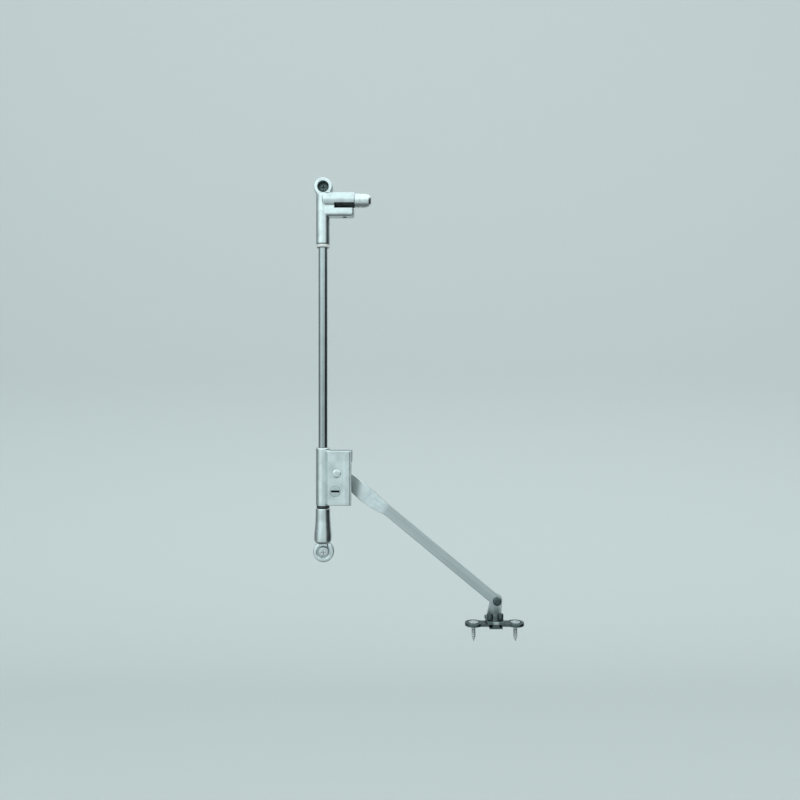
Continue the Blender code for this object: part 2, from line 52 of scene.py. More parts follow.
class Wire:
    """One socket in a tree of shader nodes. Arithmetic on it adds the nodes that work it out."""

    def __init__(self, tree, socket=None):
        self.tree = tree
        self.socket = socket

    def node(self, kind, settings=None, inputs=None, out=0):
        """Adds a node: its settings first, then the values or wires of its sockets."""
        made = self.tree.nodes.new(kind)
        for key, value in (settings or {}).items():
            setattr(made, key, value)
        for key, value in (inputs or {}).items():
            if isinstance(value, Wire):
                self.tree.links.new(value.socket, made.inputs[key])
            else:
                made.inputs[key].default_value = value
        return Wire(self.tree, made.outputs[out])

    def maths(self, operation, *values):
        return self.node("ShaderNodeMath", {"operation": operation}, dict(enumerate(values)))

    def part(self, axis):
        """One part of a place: 0 along its X, 1 along its Y and 2 along its Z."""
        return self.node("ShaderNodeSeparateXYZ", None, {0: self}, out=axis)

    def size(self):
        """The value without its sign."""
        return self.maths("ABSOLUTE", self)

    def feeds(self, node, socket):
        self.tree.links.new(self.socket, node.inputs[socket])

    def __add__(self, other):
        return self.maths("ADD", self, other)

    def __radd__(self, other):
        return self.maths("ADD", other, self)

    def __sub__(self, other):
        return self.maths("SUBTRACT", self, other)

    def __rsub__(self, other):
        return self.maths("SUBTRACT", other, self)

    def __mul__(self, other):
        return self.maths("MULTIPLY", self, other)

    def __rmul__(self, other):
        return self.maths("MULTIPLY", other, self)

    def rise(self, low, high):
        """0 below low, 1 above high, and a smooth step between."""
        bounds = {0: self, 1: low, 2: high, 3: 0.0, 4: 1.0}
        return self.node("ShaderNodeMapRange", {"interpolation_type": "SMOOTHSTEP"}, bounds)


def direction(tree, towards):
    """How far a ray of the room's light points the way given: 1 straight along it, -1 away."""
    way = Vector(towards).normalized()
    ray = tree.node("ShaderNodeTexCoord", out=0)
    dot = {"operation": "DOT_PRODUCT"}
    return tree.node("ShaderNodeVectorMath", dot, {0: ray, 1: way}, out=1)


room = bpy.data.worlds.new("room")
bpy.context.scene.world = room
room.use_nodes = True
room.node_tree.nodes.clear()
light = Wire(room.node_tree)
bright_left = direction(light, (-0.72, -0.66, 0.15)).rise(0.6, 0.98)
bright_above = direction(light, (0.0, -0.1, 1.0)).rise(0.03, 0.52)
black_right = direction(light, (1.0, 0.0, -0.08)).rise(0.62, 0.88)
dim_left = direction(light, (-1.0, 0.4, 0.0)).rise(0.5, 0.95)
dark_behind = direction(light, (0.0, 1.0, 0.2)).rise(0.78, 0.97)
dark_below = direction(light, (0.0, 0.1, -1.0)).rise(0.45, 0.95)
shade = (1 - 0.96 * black_right) * (1 - 0.6 * dim_left)
shade = shade * (1 - 0.45 * dark_behind) * (1 - 0.8 * dark_below)
level = (0.66 + 0.28 * bright_left + 0.56 * bright_above) * shade
room_colour = (0.85, 1.0, 1.03, 1)
far_colour = (0.57, 0.66, 0.69, 1)
glow = light.node("ShaderNodeBackground", None, {"Color": room_colour, "Strength": level})
plain = light.node("ShaderNodeBackground", None, {"Color": far_colour, "Strength": 1.0})
seen = light.node("ShaderNodeLightPath", out=0)
either = light.node("ShaderNodeMixShader", None, {0: seen, 1: glow, 2: plain})
sky = room.node_tree.nodes.new("ShaderNodeOutputWorld")
either.feeds(sky, "Surface")


def soft_lamp(name, at, aim, size, power, colour):
    lamp = bpy.data.lights.new(name, "AREA")
    lamp.shape = "RECTANGLE"
    lamp.size, lamp.size_y = size
    lamp.energy = power
    lamp.color = colour
    made = bpy.data.objects.new(name, lamp)
    bpy.context.scene.collection.objects.link(made)
    made.location = at
    made.rotation_euler = (Vector(aim) - Vector(at)).to_track_quat("-Z", "Y").to_euler()
    made.visible_glossy = False


lamp_size = (1.6, 1.6)
soft_lamp("lamp_high_left", (-1.2, -1.6, 2.0), (0.0, 1.0, 0.2), lamp_size, 40, (0.95, 1.0, 1.0))
soft_lamp("lamp_high_right", (1.8, -1.6, 1.6), (0.4, 1.0, 0.2), lamp_size, 34, (1.0, 1.0, 1.0))


def card_sweep(name, floor, back, curve, half_width, front, height, steps=16):
    """A floor that curves up into a back wall, in one sheet."""
    line = [(front, floor), (back - curve, floor)]
    for step in range(1, steps):
        angle = math.pi / 2 * step / steps
        line.append((back - curve + curve * math.sin(angle), floor + curve - curve * math.cos(angle)))
    line += [(back, floor + curve), (back, height)]
    bm = bmesh.new()
    rows = [[bm.verts.new((side * half_width, y, z)) for side in (-1, 1)] for y, z in line]
    for (a, b), (c, d) in zip(rows, rows[1:]):
        bm.faces.new((a, b, d, c))
    mesh = bpy.data.meshes.new(name)
    bm.to_mesh(mesh)
    bm.free()
    mesh.shade_smooth()
    made = bpy.data.objects.new(name, mesh)
    bpy.context.scene.collection.objects.link(made)
    made.visible_glossy = False
    return made


sweep = card_sweep("sweep", floor=-0.5, back=1.6, curve=0.7, half_width=4, front=-3, height=4)
card = bpy.data.materials.new("pale_card")
card.use_nodes = True
card_shader = card.node_tree.nodes["Principled BSDF"]
card_colour = (0.445, 0.465, 0.46, 1)
card_shader.inputs["Base Color"].default_value = card_colour
card_shader.inputs["Roughness"].default_value = 0.9
sweep.data.materials.append(card)

lens = bpy.data.cameras.new("camera")
lens.sensor_width = 36
lens.lens = 31.2
lens.shift_y = 0.005
camera = bpy.data.objects.new("camera", lens)
bpy.context.scene.collection.objects.link(camera)
camera.location = (0.0605, -0.553, 0.1049)
camera.rotation_euler = (math.pi / 2, 0, 0)
bpy.context.scene.camera = camera
bpy.context.scene.view_settings.view_transform = "Standard"


# ---------------------------------------------------------------------------------------------
# Guide rod. A 7 mm steel bar, ground round and bright plated, with eased ends. It stands in the
# sleeves of the two brackets and is pinned there.

TO_ROOM = (math.pi / 2, 0, 0)  # a piece's own Z turned out from the panel, and its own Y turned up
TO_PANEL = (-math.pi / 2, 0, 0)
TO_FRONT = (0, math.pi / 2, 0)  # a piece's own Z turned to the cabinet's front edge
ROD_DEPTH = 8.0


def eased(corners, steps=5):
    """Corners (x, y) or (x, y, radius) in order; those with a radius are rounded by an arc."""
    points = []
    for index, corner in enumerate(corners):
        here = Vector(corner[:2])
        if len(corner) < 3:
            points.append(here)
            continue
        into = (Vector(corners[index - 1][:2]) - here).normalized()
        away = (Vector(corners[(index + 1) % len(corners)][:2]) - here).normalized()
        half = into.angle(away) / 2
        centre = here + (into + away).normalized() * corner[2] / math.sin(half)
        start = here + into * corner[2] / math.tan(half) - centre
        end = here + away * corner[2] / math.tan(half) - centre
        sweep_by = start.angle_signed(end)
        for step in range(steps + 1):
            turn = Matrix.Rotation(-sweep_by * step / steps, 2)
            points.append(centre + turn @ start)
    return points


def finish_mesh(name, bm, at=(0, 0, 0), turn=(0, 0, 0), sharp=38):
    """An object from a mesh in millimetres, set in its place in metres."""
    bmesh.ops.remove_doubles(bm, verts=bm.verts, dist=1e-4)
    bmesh.ops.recalc_face_normals(bm, faces=bm.faces)
    bmesh.ops.scale(bm, verts=bm.verts, vec=(MM, MM, MM))
    mesh = bpy.data.meshes.new(name)
    bm.to_mesh(mesh)
    bm.free()
    mesh.shade_smooth()
    mesh.set_sharp_from_angle(angle=math.radians(sharp))
    made = bpy.data.objects.new(name, mesh)
    bpy.context.scene.collection.objects.link(made)
    made.location = Vector(at) * MM
    made.rotation_euler = turn
    return made


def lathe(name, profile, at=(0, 0, 0), turn=(0, 0, 0), sides=64):
    """A turned piece about its own Z. The profile is (radius, height) or (radius, height, easing)."""
    line = eased(profile)
    bm = bmesh.new()
    rings = []
    for radius, height in line:
        if radius < 1e-6:
            rings.append([bm.verts.new((0, 0, height))] * sides)
            continue
        angles = [2 * math.pi * side / sides for side in range(sides)]
        rings.append([bm.verts.new((radius * math.cos(a), radius * math.sin(a), height)) for a in angles])
    loops = list(zip(rings, rings[1:]))
    if profile[0][0] > 0:
        loops.append((rings[-1], rings[0]))
    for low, high in loops:
        for side in range(sides):
            after = (side + 1) % sides
            corners = dict.fromkeys((low[side], low[after], high[after], high[side]))
            if len(corners) > 2:
                bm.faces.new(corners)
    return finish_mesh(name, bm, at, turn)


def own_place(start):
    """Where a point lies in its piece's own frame, in metres."""
    return start.node("ShaderNodeTexCoord", out=3)


def clouds(start, size, detail=3.0, stretch=(1, 1, 1)):
    """Noise from 0 to 1 over a piece, with blotches of a size in millimetres."""
    place = own_place(start)
    scale = [share / (size * MM) for share in stretch]
    spread = start.node("ShaderNodeVectorMath", {"operation": "MULTIPLY"}, {0: place, 1: scale})
    values = {"Vector": spread, "Scale": 1.0, "Detail": detail}
    return start.node("ShaderNodeTexNoise", None, values)


def tint(start, factor, one, two):
    """A colour between two others, each a wire or three numbers, by a factor."""
    ends = {"Factor": factor}
    for socket, colour in ((6, one), (7, two)):
        ends[socket] = colour if isinstance(colour, Wire) else (*colour, 1)
    return start.node("ShaderNodeMix", {"data_type": "RGBA"}, ends, out=2)


def edges(start, low=0.52, high=0.62):
    """1 on a piece's outer edges, where handling rubs it."""
    return start.node("ShaderNodeNewGeometry", out=7).rise(low, high)


def new_finish(name, metallic=1.0):
    """A material, the start of its wiring and its shader."""
    made = bpy.data.materials.new(name)
    made.use_nodes = True
    shader = made.node_tree.nodes["Principled BSDF"]
    shader.inputs["Metallic"].default_value = metallic
    return made, Wire(made.node_tree), shader


def relief(start, height, depth, shader):
    """Turns a height from 0 to 1 into a relief of that depth in millimetres."""
    values = {"Height": height, "Strength": 1.0, "Distance": depth * MM}
    start.node("ShaderNodeBump", None, values).feeds(shader, "Normal")


def ground_steel(name, colour, along=(1, 1, 0.02), rough=(0.10, 0.26), lines=0.0012):
    """Bright plated steel with the fine lines that grinding or rolling left under the plating."""
    made, start, shader = new_finish(name)
    fine = clouds(start, 0.16, 2.0, along)
    broad = clouds(start, 9.0, 3.0)
    darker = [0.86 * part for part in colour]
    tint(start, broad.rise(0.3, 0.7) * 0.6 + fine * 0.4, darker, colour).feeds(shader, "Base Color")
    (rough[0] + (rough[1] - rough[0]) * (0.55 * fine + 0.45 * broad)).feeds(shader, "Roughness")
    relief(start, fine, lines, shader)
    return made


def dress(piece, finish, body, slot, *nodes):
    """Gives a piece its finish and its body, and hides the solids it stands for. The slot is not used."""
    piece.data.materials.clear()
    piece.data.materials.append(finish)
    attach(piece, body)
    if nodes:
        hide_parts(*nodes)
    return piece


rod_low, rod_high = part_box("guide_rod")
rod_radius = (rod_high.x - rod_low.x) / 2 / MM
rod_foot, rod_head = rod_low.z / MM, rod_high.z / MM
rod_line = (0, -ROD_DEPTH, 0)
guide_rod = lathe(
    "guide_rod_ground",
    [(0, rod_foot), (rod_radius, rod_foot, 0.6), (rod_radius, rod_head, 0.6), (0, rod_head)],
    rod_line,
)
rod_steel = ground_steel("rod_steel", (0.46, 0.50, 0.50), along=(0.05, 0.05, 1))
dress(guide_rod, rod_steel, "rail", "polished_rod", "guide_rod")


# ---------------------------------------------------------------------------------------------
# Rod pins. Short grooved pins of spring steel, driven across the rod's ends inside the sleeves.

pin_steel = ground_steel("pin_steel", (0.40, 0.42, 0.45), along=(0.05, 1, 1), rough=(0.25, 0.4))
for name in ("lower_rod_pin", "upper_rod_pin"):
    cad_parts[name].data.materials.clear()
    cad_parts[name].data.materials.append(pin_steel)


# ---------------------------------------------------------------------------------------------
# Lower bracket. A zinc die casting, nickel plated: a round eye for the panel screw that runs up
# into a bottle-shaped sleeve. The die leaves soft corners, and the holes are machined crisp.

def brick(name, x, depth, z, easing=0.0):
    """A block between three pairs of limits, in millimetres, with its edges rounded by the easing."""
    bm = bmesh.new()
    bmesh.ops.create_cube(bm, size=1)
    sizes = [high - low for low, high in (x, depth, z)]
    middle = Vector((sum(x), -sum(depth), sum(z))) / 2
    placed = Matrix.Translation(middle) @ Matrix.Diagonal((*sizes, 1))
    bmesh.ops.transform(bm, matrix=placed, verts=bm.verts)
    if easing:
        bmesh.ops.bevel(bm, geom=bm.edges[:], offset=easing, segments=4, profile=0.5, affect="EDGES")
    return finish_mesh(name, bm)


def applied(piece):
    """Makes a piece's modifiers part of its mesh."""
    graph = bpy.context.evaluated_depsgraph_get()
    mesh = bpy.data.meshes.new_from_object(piece.evaluated_get(graph))
    piece.modifiers.clear()
    piece.data = mesh
    return piece


def fused(name, solids):
    """Several closed shapes as one object in the row's frame."""
    bpy.context.view_layer.update()
    bm = bmesh.new()
    for one in solids:
        own = one.data.copy()
        own.transform(one.matrix_world)
        bm.from_mesh(own)
        bpy.data.objects.remove(one)
    mesh = bpy.data.meshes.new(name)
    bm.to_mesh(mesh)
    bm.free()
    made = bpy.data.objects.new(name, mesh)
    bpy.context.scene.collection.objects.link(made)
    return made


def machined(piece, cutters, sharp=38):
    """Cuts crisp holes and faces into a piece, and takes the cutters away."""
    for cutter in cutters:
        cut = piece.modifiers.new("cut", "BOOLEAN")
        cut.operation = "DIFFERENCE"
        cut.object = cutter
    bpy.context.view_layer.update()
    applied(piece)
    for cutter in cutters:
        bpy.data.objects.remove(cutter)
    piece.data.shade_smooth()
    piece.data.set_sharp_from_angle(angle=math.radians(sharp))
    return piece


def cast(name, solids, grain=0.28, passes=10):
    """A die casting: the shapes run into each other, and every corner is softened."""
    made = fused(name, solids)
    skin = made.modifiers.new("skin", "REMESH")
    skin.mode = "VOXEL"
    skin.voxel_size = grain * MM
    ease = made.modifiers.new("ease", "SMOOTH")
    ease.factor = 0.5
    ease.iterations = passes
    bpy.context.view_layer.update()
    applied(made).data.shade_smooth()
    return made


def bore(name, radius, low, high, at, turn=(0, 0, 0), sides=64):
    """A plain round hole, or a plain round pin, along its own Z."""
    return lathe(name, [(0, low), (radius, low), (radius, high), (0, high)], at, turn, sides)


def plated_casting(name, colour, rough=(0.30, 0.42), pits=0.006):
    """Nickel over a zinc casting: faint ripples and pits, a cloudy sheen, and brighter rubbed edges."""
    made, start, shader = new_finish(name)
    broad = clouds(start, 7.0, 4.0)
    fine = clouds(start, 0.55, 3.0)
    specks = clouds(start, 0.22, 1.0).rise(0.66, 0.78)
    rubbed = edges(start)
    darker = [0.80 * part for part in colour]
    brighter = [min(1.0, 1.10 * part) for part in colour]
    skin = tint(start, broad.rise(0.25, 0.7), darker, colour)
    tint(start, rubbed * 0.7, skin, brighter).feeds(shader, "Base Color")
    sheen = rough[0] + (rough[1] - rough[0]) * (0.6 * broad + 0.4 * fine)
    (sheen + 0.10 * specks - 0.05 * rubbed).feeds(shader, "Roughness")
    relief(start, fine * 0.5 + broad * 0.5 - 0.6 * specks, pits, shader)
    return made


nickel = plated_casting("nickel_casting", (0.77, 0.83, 0.82), rough=(0.25, 0.34), pits=0.0022)

low_screw_z = -12.0
eye = [(0, 0), (8.2, 0, 0.3), (8.2, 5.6, 0.9), (5.6, 6.0, 0.3), (5.4, 5.2), (0, 5.2)]
bottle = [
    (0, -4.6), (5.0, -4.5, 1.2), (6.7, -2.7, 1.5), (6.9, 0.5), (6.7, 4), (6.3, 8), (5.9, 13), (5.75, 18),
    (5.7, 23.2, 0.7), (0, 23.2),
]
socket_radius, socket_mouth = 3.75, 4.3
socket = [
    (0, 2.4), (socket_radius, 2.4), (socket_radius, 22.8), (socket_mouth, 23.4), (socket_mouth, 30),
    (0, 30),
]
seat = [(0, 3), (5.0, 3), (5.0, 5.4), (5.6, 6.2), (5.6, 9), (0, 9)]
low_eye_place = (0, 0, low_screw_z)
low_pin_place = (0, -ROD_DEPTH, 12)
web_width = (-3.2, 3.2)
screw_clearance, pin_clearance = 2.3, 1.1
lower_bracket = cast("lower_bracket_cast", [
    lathe("eye", eye, low_eye_place, TO_ROOM),
    lathe("bottle", bottle, rod_line),
    brick("web", web_width, (0, 8), (-12, 21), 0.3),
])
machined(lower_bracket, [
    lathe("socket", socket, rod_line),
    lathe("seat", seat, low_eye_place, TO_ROOM),
    bore("screw_hole", screw_clearance, -1, 8, low_eye_place, TO_ROOM, sides=32),
    bore("pin_hole", pin_clearance, -8, 8, low_pin_place, TO_FRONT, sides=24),
])
dress(lower_bracket, nickel, "rail", "nickel_casting", "lower_bracket")


# ---------------------------------------------------------------------------------------------
# Upper bracket. The same plated casting: an eye for the upper panel screw, the sleeve for the rod's
# head, and a barrel for the magnet, slit along its lower side so that the jaw can pinch it.

hole_row = 32  # the spacing of the holes in a cabinet's side panel
high_screw_z = low_screw_z + 9 * hole_row
magnet_z = high_screw_z - 11.4
lock_x = 17
sleeve_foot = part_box("upper_bracket")[0].z / MM
sleeve_top = 270.5
high_eye_place = (0, 0, high_screw_z)
high_pin_place = (0, -ROD_DEPTH, 246)
barrel_place = (0, -ROD_DEPTH, magnet_z)

high_eye = [(0, 0), (7.3, 0, 0.3), (7.3, 8.5, 0.8), (0, 8.5)]
sleeve = [(0, sleeve_foot), (5.4, sleeve_foot, 0.7), (5.4, sleeve_top, 2.0), (0, sleeve_top)]
barrel = [(0, 0), (6.6, 0, 0.8), (6.6, 25.2, 0.7), (0, 25.2)]
upper_bracket = cast("upper_bracket_cast", [
    lathe("high_eye", high_eye, high_eye_place, TO_ROOM),
    lathe("sleeve", sleeve, rod_line),
    lathe("barrel", barrel, barrel_place, TO_FRONT),
    brick("web", web_width, (0, 8.2), (sleeve_foot + 1, sleeve_top), 0.3),
    brick("jaw", (1, 24.4), (2.6, 13.4), (magnet_z - 12.9, magnet_z - 4.6), 1.9),
])
high_socket = [
    (0, sleeve_foot - 3), (socket_mouth, sleeve_foot - 3), (socket_mouth, sleeve_foot - 0.2),
    (socket_radius, sleeve_foot + 0.4), (socket_radius, 258.4), (0, 258.4),
]
high_seat = [(0, 1.8), (4.4, 1.8), (4.4, 8.1), (4.7, 8.6), (4.7, 20), (0, 20)]
magnet_bore = [(0, 7), (5.65, 7), (5.65, 24.8), (6.0, 25.3), (6.0, 40), (0, 40)]
machined(upper_bracket, [
    lathe("rod_socket", high_socket, rod_line),
    lathe("high_seat", high_seat, high_eye_place, TO_ROOM),
    bore("screw_hole", screw_clearance, -1, 8, high_eye_place, TO_ROOM, sides=32),
    lathe("magnet_bore", magnet_bore, barrel_place, TO_FRONT),
    brick("slit", (9.2, 40), (8, 20), (magnet_z - 6.9, magnet_z - 2.8)),
    bore("pin_hole", pin_clearance, -8, 8, high_pin_place, TO_FRONT, sides=24),
    bore("lock_hole", 1.8, -14, -4, (lock_x, -ROD_DEPTH, magnet_z), sides=24),
])
dress(upper_bracket, nickel, "rail", "nickel_casting", "upper_bracket")


# ---------------------------------------------------------------------------------------------
# Panel screws. Hardened steel with a rolled thread and a cross recess, sunk in the brackets' eyes
# and driven into the side panel. The lower one is zinc plated and the upper one is blackened.

def turned_screw(name, head, shank, at, turn):
    """A screw in one skin: its turned head from the top, then a threaded shank that runs to a point."""
    sides = shank.get("sides", 40)
    angles = [2 * math.pi * side / sides for side in range(sides)]
    line = eased(head)
    rings = [[(radius, height)] * sides for radius, height in line[1:]]
    under = line[-1].y
    length = under - shank["point"]
    rows_per_turn, flank, blunt = 8, 0.32, 0.08
    rows = int(length / shank["pitch"] * rows_per_turn)
    for row in range(1, rows + 1):
        down = length * row / rows
        taper = max(blunt, min(1.0, (length - down) / shank["taper"]) ** 0.8)
        cut_in = min(1.0, max(0.0, (down - shank["plain"]) / shank["pitch"]))
        ring = []
        for side in range(sides):
            phase = (down / shank["pitch"] - side / sides) % 1
            ridge = max(0.0, 1 - abs(phase - 0.5) / flank) * cut_in
            radius = shank["core"] + (shank["crest"] - shank["core"]) * ridge
            ring.append((radius * taper, under - down))
        rings.append(ring)
    bm = bmesh.new()
    skin = []
    for ring in rings:
        around = zip(angles, ring)
        skin.append([bm.verts.new((r * math.cos(a), r * math.sin(a), z)) for a, (r, z) in around])
    bm.faces.new(skin[0])
    bm.faces.new(skin[-1])
    for high, low in zip(skin, skin[1:]):
        for side in range(sides):
            after = (side + 1) % sides
            bm.faces.new((high[side], high[after], low[after], low[side]))
    return finish_mesh(name, bm, at, turn, sharp=30)


def cross_recess(piece, across, wide, deep, at, turn):
    """Cuts the recess one wing at a time, so that the wings may cross."""
    cutters = []
    wings = ((0, 1.0, 1.0, 1.0), (90, 1.0, 1.0, 1.0), (45, 0.62, 0.4, 0.4), (135, 0.62, 0.4, 0.4))
    for angle, reach, width, sink in wings:
        bm = bmesh.new()
        corners = bmesh.ops.create_cube(bm, size=1)["verts"]
        for vert in corners:
            below = vert.co.z < 0
            vert.co.x *= across * reach * (0.5 if below else 1.0)
            vert.co.y *= wide * width * (0.75 if below else 1.0)
            vert.co.z = -deep * sink if below else 0.6
        spin = Matrix.Rotation(math.radians(angle), 3, "Z")
        bmesh.ops.rotate(bm, verts=corners, cent=(0, 0, 0), matrix=spin)
        cutters.append(finish_mesh("wing", bm, at, turn))
    return machined(piece, cutters, sharp=30)


def driven_screw(name, head, shank, recess, at, turn=(0, 0, 0)):
    """A whole screw, with a cross recess of a width across, a slot width and a depth."""
    return cross_recess(turned_screw(name, head, shank, at, turn), *recess, at, turn)


def screw_finish(name, colour, rough):
    """Thin plating on a rolled screw: cloudy, with bright rubbed edges round the recess."""
    made, start, shader = new_finish(name)
    broad = clouds(start, 1.6, 4.0)
    fine = clouds(start, 0.12, 2.0)
    rubbed = edges(start, 0.54, 0.66)
    brighter = [min(1.0, part * 1.35 + 0.05) for part in colour]
    darker = [part * 0.7 for part in colour]
    body = tint(start, broad.rise(0.3, 0.7), darker, colour)
    tint(start, rubbed * 0.8, body, brighter).feeds(shader, "Base Color")
    (rough + 0.14 * broad + 0.06 * fine).feeds(shader, "Roughness")
    relief(start, fine * 0.5 + broad * 0.5, 0.006, shader)
    return made


zinc_screw = screw_finish("zinc_screw", (0.72, 0.76, 0.76), 0.34)
black_screw = screw_finish("black_screw", (0.10, 0.13, 0.13), 0.26)
pan_head = [(0, 0), (2.6, -0.02), (3.9, -0.35, 0.6), (4.2, -1.2, 0.4), (4.2, -2.6, 0.15), (1.35, -2.6)]
pan_shank = {"point": -19.99, "taper": 4.0, "plain": 4.0, "core": 1.35, "crest": 1.9, "pitch": 1.7}
pan_recess = (4.2, 0.95, 1.7)
low_head = (0, -5.9, low_screw_z)
high_head = (0, -4.7, high_screw_z)
lower_screw = driven_screw("lower_panel_screw_cut", pan_head, pan_shank, pan_recess, low_head, TO_ROOM)
dress(lower_screw, zinc_screw, "rail", "screw_steel", "lower_panel_screw")
upper_screw = driven_screw("upper_panel_screw_cut", pan_head, pan_shank, pan_recess, high_head, TO_ROOM)
dress(upper_screw, black_screw, "rail", "dark_screw", "upper_panel_screw")


# ---------------------------------------------------------------------------------------------
# Magnet lock screw. A black grub screw with a hexagon socket, in the barrel's jaw from below.

lock_top = magnet_z - 6.1
lock_foot = lock_top - 4.6
lock_screw = lathe(
    "magnet_lock_screw_cut",
    [(0, lock_foot), (1.5, lock_foot, 0.25), (1.5, lock_top, 0.4), (0, lock_top)],
    at=(lock_x, -ROD_DEPTH, 0), sides=32,
)
key = bore("key", 0.8, -1, 1.8, (lock_x, -ROD_DEPTH, lock_foot), sides=6)
machined(lock_screw, [key])
dress(lock_screw, black_screw, "rail", "dark_screw", "magnet_lock_screw")


# ---------------------------------------------------------------------------------------------
# Buffers. Two soft rings round the rod, where the slider stops at each end of its run: black rubber
# below, and pale plastic under the upper bracket.

def moulded(name, colour, rough, grain=0.5, depth=0.01):
    """A moulded rubber or plastic: matt, faintly mottled, with a fine even grain."""
    made, start, shader = new_finish(name, metallic=0.0)
    broad = clouds(start, 3.0, 4.0)
    fine = clouds(start, grain, 2.0)
    darker = [part * 0.72 for part in colour]
    tint(start, broad * 0.6 + fine * 0.4, darker, colour).feeds(shader, "Base Color")
    (rough + 0.16 * fine).feeds(shader, "Roughness")
    relief(start, fine, depth, shader)
    return made


black_rubber = moulded("black_rubber", (0.035, 0.04, 0.04), 0.6)
white_acetal = moulded("white_acetal", (0.58, 0.60, 0.58), 0.38, grain=0.6, depth=0.005)
for name, stuff, slot in (
    ("lower_buffer", black_rubber, "buffer_rubber"),
    ("upper_buffer", white_acetal, "bush_plastic"),
):
    low, high = (corner.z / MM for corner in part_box(name))
    bulge = (high - low) * 0.45
    ring = [(3.85, low), (4.95, low, 0.25), (5.2, low + bulge, 0.3), (4.95, high, 0.25), (3.85, high)]
    dress(lathe(name + "_ring", ring, rod_line), stuff, "rail", slot, name)


# ---------------------------------------------------------------------------------------------
# Magnet. A plated steel cap with a domed nose, round a sintered magnet, on a black moulded
# carrier that slides in the barrel. The nose meets the closed flap.

nose = [
    (0, 24.9), (5.4, 24.9, 0.3), (5.4, 29.2, 0.2), (5.15, 29.6, 0.2), (5.4, 30.0, 0.2), (5.4, 33.2, 2.0),
    (4.6, 36.0, 1.6), (3.4, 37.3, 0.25), (2.9, 37.3, 0.1), (2.9, 26.1), (0, 26.1),
]
magnet_cap = lathe("magnet_cap_turned", nose, barrel_place, TO_FRONT, sides=72)
bright_nickel = ground_steel("bright_nickel", (0.90, 0.95, 0.94), (0.05, 0.05, 1), rough=(0.22, 0.34))
dress(magnet_cap, bright_nickel, "magnet", "nickel_casting", "magnet_cap")

core = [(0, 26.4), (2.6, 26.4, 0.15), (2.6, 37.6, 0.2), (0, 37.6)]
magnet_core = lathe("magnet_core_pressed", core, barrel_place, TO_FRONT, sides=48)
sintered, start, shader = new_finish("sintered_magnet", metallic=0.4)
grains = clouds(start, 0.18, 3.0)
tint(start, grains.rise(0.3, 0.7), (0.045, 0.048, 0.05), (0.14, 0.145, 0.15)).feeds(shader, "Base Color")
(0.42 + 0.25 * grains).feeds(shader, "Roughness")
relief(start, grains, 0.02, shader)
dress(magnet_core, sintered, "magnet", "magnet", "magnet_core")

carrier = [
    (0, 10), (5.4, 10, 0.5), (5.4, 13.2), (5.0, 13.6), (5.0, 15.2), (5.4, 15.6), (5.4, 24.6, 0.4),
    (0, 24.6),
]
magnet_carrier = lathe("magnet_carrier_moulded", carrier, barrel_place, TO_FRONT)
black_plastic = moulded("black_plastic", (0.028, 0.034, 0.034), 0.38, grain=0.35, depth=0.006)
dress(magnet_carrier, black_plastic, "magnet", "black_plastic", "magnet_carrier")


# ---------------------------------------------------------------------------------------------
# Slider housing. A plated casting: a tube that runs on the rod, and beside it a hood over the
# arm's head, open to the front edge and below so that the arm can swing.

slide_low, slide_high = (corner.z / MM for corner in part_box("slider_housing"))
pivot_x, pivot_z = 11.5, 51.0
brake_x, brake_z = 10.4, 37.3
pivot_place = (pivot_x, 0, pivot_z)
brake_place = (brake_x, 0, brake_z)
plate_screws = (8.2, 18.6)
plate_screw_z = 62.3
plate_screw_places = [(x, 0, plate_screw_z) for x in plate_screws]
hood_run = (26.2, 68.6)
hood_left, hood_right = 4.2, 22.8

tube = [(0, slide_low), (5.5, slide_low, 0.6), (5.5, slide_high, 1.3), (0, slide_high)]
boss = [(0, 5.5), (5, 5.5, 0.3), (5, 16), (0, 16)]
slider = cast("slider_housing_cast", [
    lathe("tube", tube, rod_line),
    brick("face", (hood_left, hood_right), (15, 17), hood_run, 0.4),
    brick("left_wall", (hood_left, 5.1), (9, 16), hood_run, 0.2),
    brick("top_wall", (3.6, hood_right), (1.2, 16.6), (66.6, 68.6), 0.3),
    brick("right_wall", (21.4, hood_right), (1.2, 16.6), (59.4, 68), 0.3),
    brick("rib", (17.4, 21.6), (16, 17.5), hood_run, 0.45),
    lathe("boss", boss, pivot_place, TO_ROOM),
    *[bore("post", 2.3, 1.9, 16, place, TO_ROOM, sides=24) for place in plate_screw_places],
], passes=8)
adjuster_hole = [(0, 14), (4.15, 14), (4.15, 16.85), (4.3, 17.05), (4.3, 20), (0, 20)]
machined(slider, [
    bore("rod_bore", 4.5, 0, 90, rod_line),
    bore("pivot_hole", 2.6, 0, 20, pivot_place, TO_ROOM, sides=40),
    lathe("adjuster_hole", adjuster_hole, brake_place, TO_ROOM, sides=48),
    brick("shoe_window", (2, 8), (5.0, 11.0), (31.6, 43.0)),
    *[bore("hole", 1.2, 1, 9.6, place, TO_ROOM, sides=24) for place in plate_screw_places],
])
dress(slider, nickel, "slider", "nickel_casting", "slider_housing")


# ---------------------------------------------------------------------------------------------
# Bushes and thrust washer. Pale moulded bearings: two in the tube on the rod, and one washer
# between the hood's boss and the arm.

for name in ("lower_bush", "upper_bush"):
    low, high = (corner.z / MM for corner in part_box(name))
    bush_ring = [(3.78, low), (4.3, low, 0.2), (4.3, high, 0.2), (3.78, high)]
    bush = lathe(name + "_moulded", bush_ring, rod_line)
    dress(bush, white_acetal, "slider", "bush_plastic", name)
washer_ring = [(2.7, 4.75), (4.7, 4.75, 0.1), (4.7, 5.2, 0.1), (2.7, 5.2)]
thrust_washer = lathe("arm_thrust_washer_moulded", washer_ring, pivot_place, TO_ROOM)
dress(thrust_washer, white_acetal, "slider", "bush_plastic", "arm_thrust_washer")


